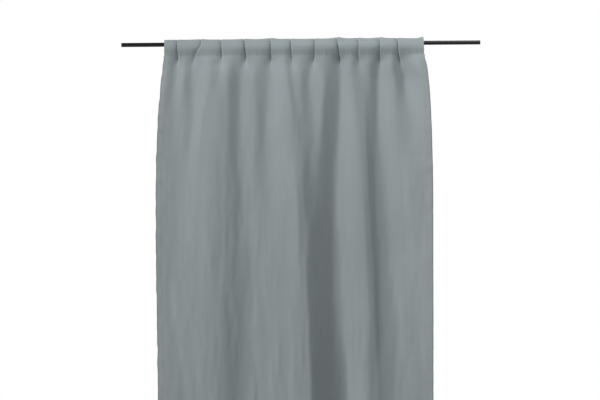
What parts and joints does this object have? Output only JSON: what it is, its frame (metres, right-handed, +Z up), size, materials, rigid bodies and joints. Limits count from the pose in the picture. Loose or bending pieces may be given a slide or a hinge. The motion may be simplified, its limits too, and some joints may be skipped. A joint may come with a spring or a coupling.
{
  "type": "curtain panel on a rod",
  "caption": "Gathered curtain panel of dense cloth with a turned-over pocket, sewn side and foot hems, hanging on a plain round rod with plugged ends.",
  "frame": {"origin": "on the rod's axis, half way along the rod", "axes": "+X along the rod to the right as seen from the room, +Z up, -Y towards the room; the curtain hangs down along -Z"},
  "size_m": [1.66, 0.0814, 2.45],
  "materials": {
    "rod_steel": "satin black powder coat",
    "rod_plug": "matte black moulded plastic",
    "curtain_cloth": "dense dull woven cloth, cool grey with a green-blue tint",
    "sewing_thread": "spun polyester thread in the cloth's colour"
  },
  "bodies": {
    "rod": {"rod_tube": "rod_steel", "rod_plug_left": "rod_plug", "rod_plug_right": "rod_plug"},
    "curtain": {"rod_pocket": "curtain_cloth", "pocket_stitches": "sewing_thread", "panel_cloth": "curtain_cloth", "side_hem_left": "curtain_cloth", "side_hem_stitches_left": "sewing_thread", "foot_hem": "curtain_cloth", "foot_hem_stitches": "sewing_thread"},
    "leading_edge": {"side_hem_right": "curtain_cloth", "side_hem_stitches_right": "sewing_thread"}
  },
  "joints": [
    {"name": "curtain_slide", "type": "slide", "parent": "rod", "child": "curtain", "axis": [1, 0, 0], "range_m": [-0.15, 0.22]},
    {"name": "curtain_draw", "type": "slide", "parent": "curtain", "child": "leading_edge", "axis": [1, 0, 0], "range_m": [-0.8915, 0], "deforming": ["panel_cloth", "rod_pocket", "pocket_stitches", "foot_hem", "foot_hem_stitches"]}
  ]
}
